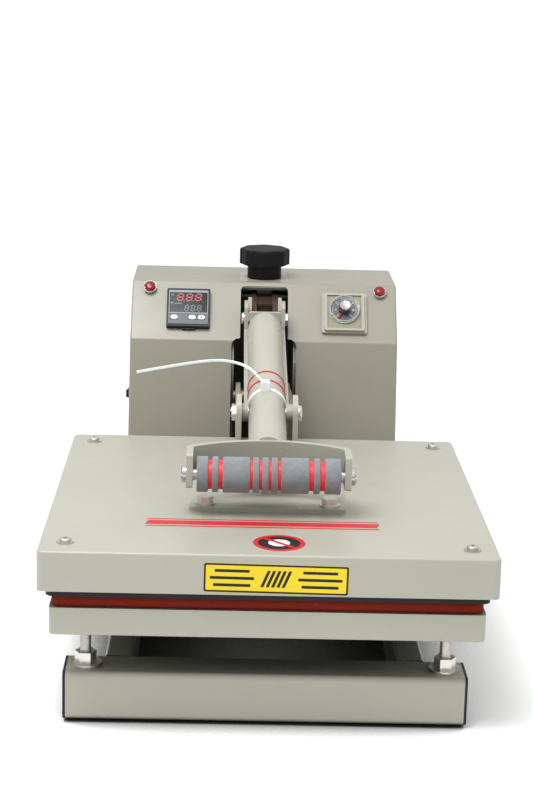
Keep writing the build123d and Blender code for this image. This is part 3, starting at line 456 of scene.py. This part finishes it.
def make_display():
    """Two rows of lit digits with dots, two small lamps, a bar and the frame of the window."""
    bm = bmesh.new()
    for i in range(3):
        digit(bm, CONTROL, -12.6 + 9.9 * i, 8.6, 5.9, 8.4, 1.25, 1.2)
        slab(bm, CONTROL, circle(0.6, -4.9 + 9.9 * i, 8.3, 12), WINDOW_TOP, WINDOW_TOP + PRINT_T)
    finish_piece("display_upper_digits", bm, MATS["digit_red"], "frame", smooth=False)
    bm = bmesh.new()
    for i in range(3):
        digit(bm, CONTROL, -4.0 + 6.9 * i, -4.4, 3.8, 7.0, 1.0, 0.8)
    finish_piece("display_lower_digits", bm, MATS["digit_green"], "frame", smooth=False)
    bm = bmesh.new()
    lamps = (circle(0.9, -17.6, 15.6, 20), circle(0.9, -18.4, 5.2, 20), rounded(8.0, 0.7, 0.3, -11.5, 4.9))
    for outline in lamps:
        slab(bm, CONTROL, outline, WINDOW_TOP, WINDOW_TOP + PRINT_T)
    finish_piece("display_lamps", bm, MATS["band_blue"], "frame", smooth=False)
    bm = bmesh.new()
    bars = [rounded(43.6, 2.6, 0.4, 0, 20.4), rounded(43.6, 1.2, 0.4, 0, -7.2)]
    bars += [rounded(0.7, 26.0, 0.3, 21.5 * side, 6.4) for side in (-1, 1)]
    for outline in bars:
        slab(bm, CONTROL, outline, WINDOW_TOP, WINDOW_TOP + 0.2, 0.08)
    finish_piece("display_frame", bm, MATS["band_blue"], "frame")


def make_key_strip():
    """Printed strip round the three keys, and the mark on each key."""
    keys = [CONTROL.inverted() @ middle(n) / MM for n in ("button_set", "button_down", "button_up")]
    low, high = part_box("button_set")
    half_w = (high[0] - low[0]) / MM / 2 + 0.35
    y_low, y_high = keys[0].y - 2.85, keys[0].y + 2.85
    half_strip, strip_y, top = 22.2, (-20.8, -8.4), CONTROL_T + 0.15
    edges = [-half_strip]
    for key in keys:
        edges += [key.x - half_w, key.x + half_w]
    edges.append(half_strip)
    bm = bmesh.new()
    slab(bm, CONTROL, rectangle(-half_strip, half_strip, y_high, strip_y[1]), CONTROL_T, top)
    slab(bm, CONTROL, rectangle(-half_strip, half_strip, strip_y[0], y_low), CONTROL_T, top)
    for x0, x1 in zip(edges[0::2], edges[1::2]):
        slab(bm, CONTROL, rectangle(x0, x1, y_low, y_high), CONTROL_T, top)
    finish_piece("key_strip", bm, MATS["strip_grey"], "frame", smooth=False)
    marks = {"key_set": rounded(2.6, 0.9, 0.4), "key_down": circle(1.2, steps=3),
             "key_up": circle(1.0, steps=20)}
    for key, (body, shape) in zip(keys, marks.items()):
        bm = bmesh.new()
        slab(bm, CONTROL, [(key.x + px, key.y + py) for px, py in shape], KEY_TOP, KEY_TOP + PRINT_T)
        finish_piece(f"{body}_mark", bm, MATS["scale_black"], body, smooth=False)


def make_timer_face():
    """Printed face and scale of the timer, which stay still."""
    z = TIMER_FLOOR
    disc_z, tick_z = z + 0.12, z + 0.24
    bm = bmesh.new()
    outer = rounded(37.6, 41.6, 0.5, 0, -DIAL_LIFT, 11)
    frame_slab(bm, DIAL, outer, circle(3.3, 0, 0, len(outer)), z, disc_z)
    finish_piece("timer_face_plate", bm, MATS["timer_face"], "frame", smooth=False)
    bm = bmesh.new()
    frame_slab(bm, DIAL, circle(14.6), circle(3.4), disc_z, tick_z)
    finish_piece("timer_scale_disc", bm, MATS["scale_black"], "frame", smooth=False)
    bm = bmesh.new()
    for i in range(SCALE_TICKS + 1):
        a = math.radians(SCALE_START - SCALE_SWEEP * i / SCALE_TICKS)
        inner, half_width = (11.6, 0.26) if i % 8 == 0 else (12.8, 0.13)
        tick = DIAL @ Matrix.Rotation(a, 4, "Z")
        slab(bm, tick, rectangle(inner, 14.0, -half_width, half_width), tick_z, tick_z + 0.06)
    finish_piece("timer_scale_ticks", bm, MATS["print_white"], "frame", smooth=False)
    make_scale_numbers(tick_z)


def make_timer_dial():
    """Clear skirt, thin web, knurled knob and red pointer, which turn together."""
    bm = bmesh.new()
    lathe(bm, DIAL, [(14.9, 6.05), (16.8, 6.05), (17.0, 6.3), (17.0, 9.7), (16.7, 10.0), (15.8, 10.0),
                     (15.4, 9.7)], 64)
    finish_piece("timer_skirt", bm, MATS["dial_plastic"], "dial", replaces=("timer_dial",))
    bm = bmesh.new()
    lathe(bm, DIAL, [(6.3, 6.1), (14.95, 6.1), (14.95, 6.4), (6.3, 6.4)], 64)
    finish_piece("timer_web", bm, MATS["clear_film"], "dial")
    bm = bmesh.new()
    knurls = 96
    turns = [2 * math.pi * i / knurls for i in range(knurls)]
    rings = []
    for z, ridge, valley in ((6.1, 6.45, 6.15), (16.3, 6.45, 6.15), (17.4, 5.6, 5.6), (17.0, 3.6, 3.6)):
        radii = [valley if i % 2 else ridge for i in range(knurls)]
        points = [(r * math.cos(a), r * math.sin(a), z) for r, a in zip(radii, turns)]
        rings.append(ring_points(bm, DIAL, points))
    for a, b in zip(rings, rings[1:]):
        bridge(bm, a, b)
    bm.faces.new(list(reversed(rings[0])))
    bm.faces.new(rings[-1])
    finish_piece("timer_knob", bm, MATS["silver_knob"], "dial")
    bm = bmesh.new()
    pointer = DIAL @ Matrix.Rotation(math.radians(POINTER_AT), 4, "Z")
    slab(bm, pointer, [(5.8, -1.0), (12.6, -0.7), (13.6, 0), (12.6, 0.7), (5.8, 1.0)], 6.6, 8.4, 0.3)
    finish_piece("timer_pointer", bm, MATS["print_red"], "dial")


def make_scale_numbers(z):
    """Minutes 0 to 30 round the timer scale."""
    for i in range(7):
        a = math.radians(SCALE_START - SCALE_SWEEP * i / 6)
        curve = bpy.data.curves.new(f"timer_number_{5 * i}", "FONT")
        curve.body = str(5 * i)
        curve.align_x = curve.align_y = "CENTER"
        curve.size = 3.0 * MM
        curve.extrude = 0.03 * MM
        obj = bpy.data.objects.new(f"timer_number_{5 * i}", curve)
        bpy.context.scene.collection.objects.link(obj)
        curve.materials.append(MATS["print_white"])
        spot = DIAL @ (Vector((9.6 * math.cos(a), 9.6 * math.sin(a), z + 0.03)) * MM)
        obj.matrix_world = basis(spot, X, PANEL_UP)
        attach(obj, "frame")


def make_lamps():
    """Faceted red lenses in rolled chrome rims."""
    low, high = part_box("lamp_lenses")
    mid = middle("lamp_lenses") - PANEL_N * (LAMP_TOP + LAMP_LENS_T / 2) * MM
    lenses, rims = bmesh.new(), bmesh.new()
    for x in (low[0] + LAMP_R * MM, high[0] - LAMP_R * MM):
        spot = basis(Vector((x, mid.y, mid.z)), X, PANEL_UP)
        lens = [(6.0, LAMP_TOP + 0.02), (6.0, 6.2), (5.2, 7.4), (3.4, 8.2), (1.4, 8.45)]
        solid_lathe(lenses, spot, lens, 16)
        lathe(rims, spot, [(6.1, 4.5), (7.4, 4.5), (7.5, 4.9), (7.2, 5.5), (6.6, 5.8), (6.1, 5.5)], 48)
    finish_piece("lamp_faceted_lenses", lenses, MATS["lens_red"], "frame", smooth=False,
                 replaces=("lamp_lenses",))
    finish_piece("lamp_rolled_rims", rims, MATS["chrome_cap"], "frame")


# ---------------------------------------------------------------- cover label and marks

LABEL_WIDE, LABEL_TALL, LABEL_X, LABEL_UP = 125.0, 26.5, 6.0, 15.0
STRIPES_X, STRIPES_HALF = -6.5, 104.5
STRIPES = ((78.5, 81.5), (84.5, 96.5), (99.5, 102.0))
SPOT_X, SPOT_BACK, SPOT_R, SPOT_DISC_R = 8.8, 35.7, 23.0, 18.6
LABEL_TILT = 0.012


def make_label():
    """Plain yellow panel with a black border, stripes and bars, without words."""
    low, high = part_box("platen_cover")
    spot = basis(Vector((LABEL_X * MM, low[1], low[2] + LABEL_UP * MM)),
                 Vector((1, 0, -LABEL_TILT)), Vector((LABEL_TILT, 0, 1)))
    paper, ink = 0.15, 0.19
    bm = bmesh.new()
    slab(bm, spot, rounded(LABEL_WIDE, LABEL_TALL, 2.0), 0.0, paper, 0.05)
    finish_piece("cover_label", bm, MATS["label_yellow"], "arm")
    bm = bmesh.new()
    frame_slab(bm, spot, rounded(LABEL_WIDE - 0.6, LABEL_TALL - 0.6, 1.8),
               rounded(LABEL_WIDE - 4.0, LABEL_TALL - 4.0, 1.0), paper, ink)
    for i in range(5):
        slab(bm, spot, rectangle(-13.5 + 4.6 * i, -10.8 + 4.6 * i, -7.5, 7.5, 6.0), paper, ink)
    for side in (-1, 1):
        for row, length in enumerate((30.0, 38.0, 32.0)):
            slab(bm, spot, rounded(length, 2.6, 0.6, 38.0 * side, 6.4 - 6.4 * row), paper, ink)
    finish_piece("cover_label_print", bm, MATS["print_black"], "arm", smooth=False)


def make_top_marks():
    """Red stripes and a plain ringed spot on the cover's top, measured from its front edge."""
    low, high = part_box("platen_cover")
    spot = basis(Vector((STRIPES_X * MM, low[1], high[2])), X, Y)
    bm = bmesh.new()
    for y0, y1 in STRIPES:
        slab(bm, spot, rectangle(-STRIPES_HALF, STRIPES_HALF, y0, y1, 3.0), 0.0, 0.10)
    finish_piece("cover_stripes", bm, MATS["print_red"], "arm", smooth=False)
    centre = basis(Vector((SPOT_X * MM, low[1] + SPOT_BACK * MM, high[2])), X, Y)
    bm = bmesh.new()
    frame_slab(bm, centre, circle(SPOT_R), circle(SPOT_DISC_R), 0.0, 0.12)
    slab(bm, centre, [(-14.0, 11.0), (-11.0, 14.0), (14.0, -11.0), (11.0, -14.0)], 0.13, 0.19)
    finish_piece("spot_ring", bm, MATS["print_red"], "arm", smooth=False)
    bm = bmesh.new()
    slab(bm, centre, circle(SPOT_DISC_R), 0.0, 0.11)
    finish_piece("spot_disc", bm, MATS["print_black"], "arm", smooth=False)
    bm = bmesh.new()
    slab(bm, centre, circle(9.5), 0.11, 0.14)
    finish_piece("spot_middle", bm, MATS["print_white"], "arm", smooth=False)


# ---------------------------------------------------------------- lever details

PIVOT_B = Vector(JOINT["lever_hinge"]["pos_m"])
PIVOT_Q = middle("link_pin")
ALONG = (Vector((0, PIVOT_Q.y, PIVOT_Q.z)) - PIVOT_B).normalized()
ABOVE = X.cross(ALONG)
TUBE_R = 18.25
TIE_AT = 15.0
TIE_TAIL = ((-2, -53.0, 256.5), (-10, -40.0, 262.0), (-17, -18.0, 265.0), (-32, -10.0, 269.0),
            (-52, -8.5, 270.5), (-87, -8.5, 265.0), (-131, -8.5, 256.0))


def tube_frame(distance):
    """Frame square to the tube: local X right, Y above the tube, Z towards the front."""
    return basis(PIVOT_B + ALONG * distance * MM, X, ABOVE)


def band(bm, matrix, inner, outer, half_width, start, end, steps=60):
    """Flat band round the tube between two angles."""
    section = ((inner, -half_width), (outer, -0.7 * half_width), (outer + 0.15, 0.0),
               (outer, 0.7 * half_width), (inner, half_width))
    rings = []
    for i in range(steps + 1):
        a = math.radians(start + (end - start) * i / steps)
        rings.append(ring_points(bm, matrix, [(r * math.cos(a), r * math.sin(a), z) for r, z in section]))
    for a, b in zip(rings, rings[1:]):
        bridge(bm, a, b)
    bm.faces.new(rings[0])
    bm.faces.new(list(reversed(rings[-1])))


def make_lever_bands():
    """Two thin red bands over the top of the tube."""
    bm = bmesh.new()
    for distance, tilt, half_width in ((60.0, 0.02, 0.9), (38.0, -0.05, 1.2)):
        frame_at = tube_frame(distance) @ Matrix.Rotation(tilt, 4, "Y")
        band(bm, frame_at, TUBE_R + 0.1, TUBE_R + 0.8, half_width, -12, 192)
    finish_piece("lever_bands", bm, MATS["print_red"], "lever")


def make_cable_tie():
    """Nylon tie round the tube: strap, ratchet head and a long free tail."""
    spot = tube_frame(TIE_AT)
    bm = bmesh.new()
    band(bm, spot, TUBE_R + 0.1, TUBE_R + 1.1, 2.2, 0, 359.9, 90)
    slab(bm, spot @ Matrix.Translation(Vector((-0.002, TUBE_R * MM, -0.0035))),
         rounded(9.0, 10.0, 1.5, 0, 4.2), 0.0, 7.0, 0.8)
    finish_piece("cable_tie", bm, MATS["nylon"], "lever")
    curve = bpy.data.curves.new("cable_tie_tail", "CURVE")
    curve.dimensions = "3D"
    spline = curve.splines.new("NURBS")
    spline.points.add(len(TIE_TAIL) - 1)
    for point, place in zip(spline.points, TIE_TAIL):
        point.co = (*(Vector(place) * MM), 1)
    spline.order_u = 3
    spline.use_endpoint_u = True
    curve.extrude = 1.1 * MM
    curve.bevel_depth = 0.35 * MM
    curve.bevel_resolution = 2
    curve.resolution_u = 16
    tail = bpy.data.objects.new("cable_tie_tail", curve)
    bpy.context.scene.collection.objects.link(tail)
    curve.materials.append(MATS["nylon"])
    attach(tail, "lever")


# ---------------------------------------------------------------- grip, studs and pad

GRIP = basis(Vector(JOINT["grip_spin"]["pos_m"]), Y, Z)
PAD_CORNER = 6.0
CORE_R, FOAM_R = 13.6, 16.5
COLLAR_R, COLLAR_T, STUD_R = 10.0, 8.0, 5.0
FOAM = ((-65.5, -55.1), (-51.5, -45.7), (-41.8, -17.2), (-14.5, -8.8), (-6.0, -0.3),
        (2.4, 8.1), (11.3, 36.6), (41.0, 46.5), (51.1, 65.5))


def make_grip():
    """Foam rings with rolled edges and a faint waviness from the mould."""
    random.seed(7)
    bm = bmesh.new()
    for x0, x1 in FOAM:
        phase = random.uniform(0, math.tau)
        roll = min(1.2, (x1 - x0) * 0.2)
        profile = [(CORE_R, x0 + 0.2), (FOAM_R - roll, x0), (FOAM_R - roll * 0.3, x0 + roll * 0.3),
                   (FOAM_R, x0 + roll), (FOAM_R - 0.08, (x0 + x1) / 2), (FOAM_R, x1 - roll),
                   (FOAM_R - roll * 0.3, x1 - roll * 0.3), (FOAM_R - roll, x1), (CORE_R, x1 - 0.2)]
        lathe(bm, GRIP, profile, 72, lambda a: 0.06 * math.sin(5 * a + phase) - 0.06)
    foam = finish_piece("grip_foam_rings", bm, MATS["grip_grey"], "grip",
                        replaces=("grip_foam",))


def thread(bm, matrix, radius, z0, z1, pitch=1.5, steps=36):
    """Rod with thread ridges, as stacked turned rings."""
    profile = [(radius - 0.95, z0)]
    z = z0
    while z < z1 - pitch:
        profile += [(radius - 0.75, z + 0.1 * pitch), (radius, z + 0.45 * pitch),
                    (radius, z + 0.6 * pitch), (radius - 0.75, z + 0.9 * pitch)]
        z += pitch
    profile.append((radius - 0.95, z1))
    solid_lathe(bm, matrix, profile, steps)


def make_studs():
    """Threaded levelling studs with a machined collar each."""
    low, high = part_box("levelling_studs")
    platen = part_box("lower_platen")[0][2] / MM
    under = platen - COLLAR_T
    collar = [(4.0, under), (COLLAR_R - 0.8, under), (COLLAR_R, under + 0.8), (COLLAR_R, platen - 0.8),
              (COLLAR_R - 0.8, platen), (STUD_R - 0.1, platen), (STUD_R - 0.1, high[2] / MM)]
    bm = bmesh.new()
    for x in (low[0] + COLLAR_R * MM, high[0] - COLLAR_R * MM):
        for y in (low[1] + COLLAR_R * MM, high[1] - COLLAR_R * MM):
            spot = Matrix.Translation((x, y, 0))
            thread(bm, spot, STUD_R, low[2] / MM, under)
            solid_lathe(bm, spot, collar, 48)
    stud_slot = SLOT_OF["levelling_studs"]
    finish_piece("threaded_studs", bm, MATS[stud_slot], "frame", replaces=("levelling_studs",))


def make_pad():
    """Silicone pad with soft corners and an edge that bulges slightly under load."""
    low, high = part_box("silicone_pad")
    size_x, size_y = (high[0] - low[0]) / MM, (high[1] - low[1]) / MM
    thick = (high[2] - low[2]) / MM
    spot = Matrix.Translation(((low[0] + high[0]) / 2, (low[1] + high[1]) / 2, low[2]))
    edge_rows = ((1.6, 0.0), (0.7, 0.12), (0.15, 0.3), (0.0, 0.5), (0.15, 0.7), (0.7, 0.88), (1.6, 1.0))
    bm = bmesh.new()
    rings = []
    for inset, up in edge_rows:
        line = rounded(size_x - 2 * inset, size_y - 2 * inset, PAD_CORNER - inset, 0, 0, 8)
        rings.append(ring_points(bm, spot, [(x, y, up * thick) for x, y in line]))
    for a, b in zip(rings, rings[1:]):
        bridge(bm, a, b)
    bm.faces.new(list(reversed(rings[0])))
    bm.faces.new(rings[-1])
    pad = finish_piece("silicone_pad_soft", bm, MATS["silicone"], "frame",
                       replaces=("silicone_pad",))


# ---------------------------------------------------------------- stage

SHADOW_STOPS = ((0.05, 0.02), (0.30, 0.12), (0.55, 0.92))
CAMERA_AT = (-0.03945, -1.87352, 0.67662)
CAMERA_YAW, CAMERA_PITCH, CAMERA_ROLL = (math.radians(a) for a in (1.228, 13.467, 1.494))
CAMERA_LENS = 85.285


def make_stage():
    """Pale floor, deeper in shade where something stands close above it."""
    mat, tree, bsdf = new_material("stage_floor")
    # painted shadow: the floor's colour darkens by ambient occlusion under and beside the machine
    tree.links.new(painted_shade_ramp(tree, 0.14, SHADOW_STOPS), bsdf.inputs["Base Color"])
    bsdf.inputs["Roughness"].default_value = 0.9
    bpy.ops.mesh.primitive_plane_add(size=300, location=(0, 0, 0))
    floor = bpy.context.object
    floor.name = "stage_floor"
    floor.data.materials.append(mat)


def area_light(name, where, target, power, width, depth):
    data = bpy.data.lights.new(name, "AREA")
    data.shape = "RECTANGLE"
    data.size, data.size_y = width, depth
    data.energy = power
    obj = bpy.data.objects.new(name, data)
    bpy.context.scene.collection.objects.link(obj)
    obj.location = where
    obj.rotation_euler = (Vector(target) - Vector(where)).to_track_quat("-Z", "Y").to_euler()


def make_lights():
    """White sky, brighter overhead, and one soft box above the front."""
    world = bpy.data.worlds.new("world")
    bpy.context.scene.world = world
    world.use_nodes = True
    tree = world.node_tree
    split = tree.nodes.new("ShaderNodeSeparateXYZ")
    tree.links.new(tree.nodes.new("ShaderNodeTexCoord").outputs["Generated"], split.inputs["Vector"])
    sky = ramp(tree, split.outputs["Z"], [(0.0, 0.35), (0.25, 0.6), (0.7, 1.0)])
    tree.links.new(sky, tree.nodes["Background"].inputs["Color"])
    tree.nodes["Background"].inputs["Strength"].default_value = 1.25
    area_light("key", (-0.5, -0.7, 1.9), (0, -0.1, 0.1), 34, 1.0, 0.8)


def make_camera():
    """Camera in front, a little above and left of the middle, with a slight roll."""
    forward = Vector((math.sin(CAMERA_YAW) * math.cos(CAMERA_PITCH),
                      math.cos(CAMERA_YAW) * math.cos(CAMERA_PITCH), -math.sin(CAMERA_PITCH)))
    right = Vector((math.cos(CAMERA_YAW), -math.sin(CAMERA_YAW), 0))
    level = Matrix((right, right.cross(forward), -forward)).transposed().to_4x4()
    data = bpy.data.cameras.new("camera")
    data.sensor_fit = "VERTICAL"
    data.sensor_height = 36.0
    data.lens = CAMERA_LENS
    data.clip_end = 400
    cam = bpy.data.objects.new("camera", data)
    bpy.context.scene.collection.objects.link(cam)
    cam.matrix_world = Matrix.Translation(CAMERA_AT) @ level @ Matrix.Rotation(CAMERA_ROLL, 4, "Z")
    bpy.context.scene.camera = cam


make_camera()
make_display()
make_key_strip()
make_timer_face()
make_timer_dial()
make_lamps()
make_label()
make_top_marks()
make_lever_bands()
make_cable_tie()
make_grip()
make_studs()
make_pad()
make_stage()
make_lights()
bpy.context.scene.view_settings.view_transform = "Standard"
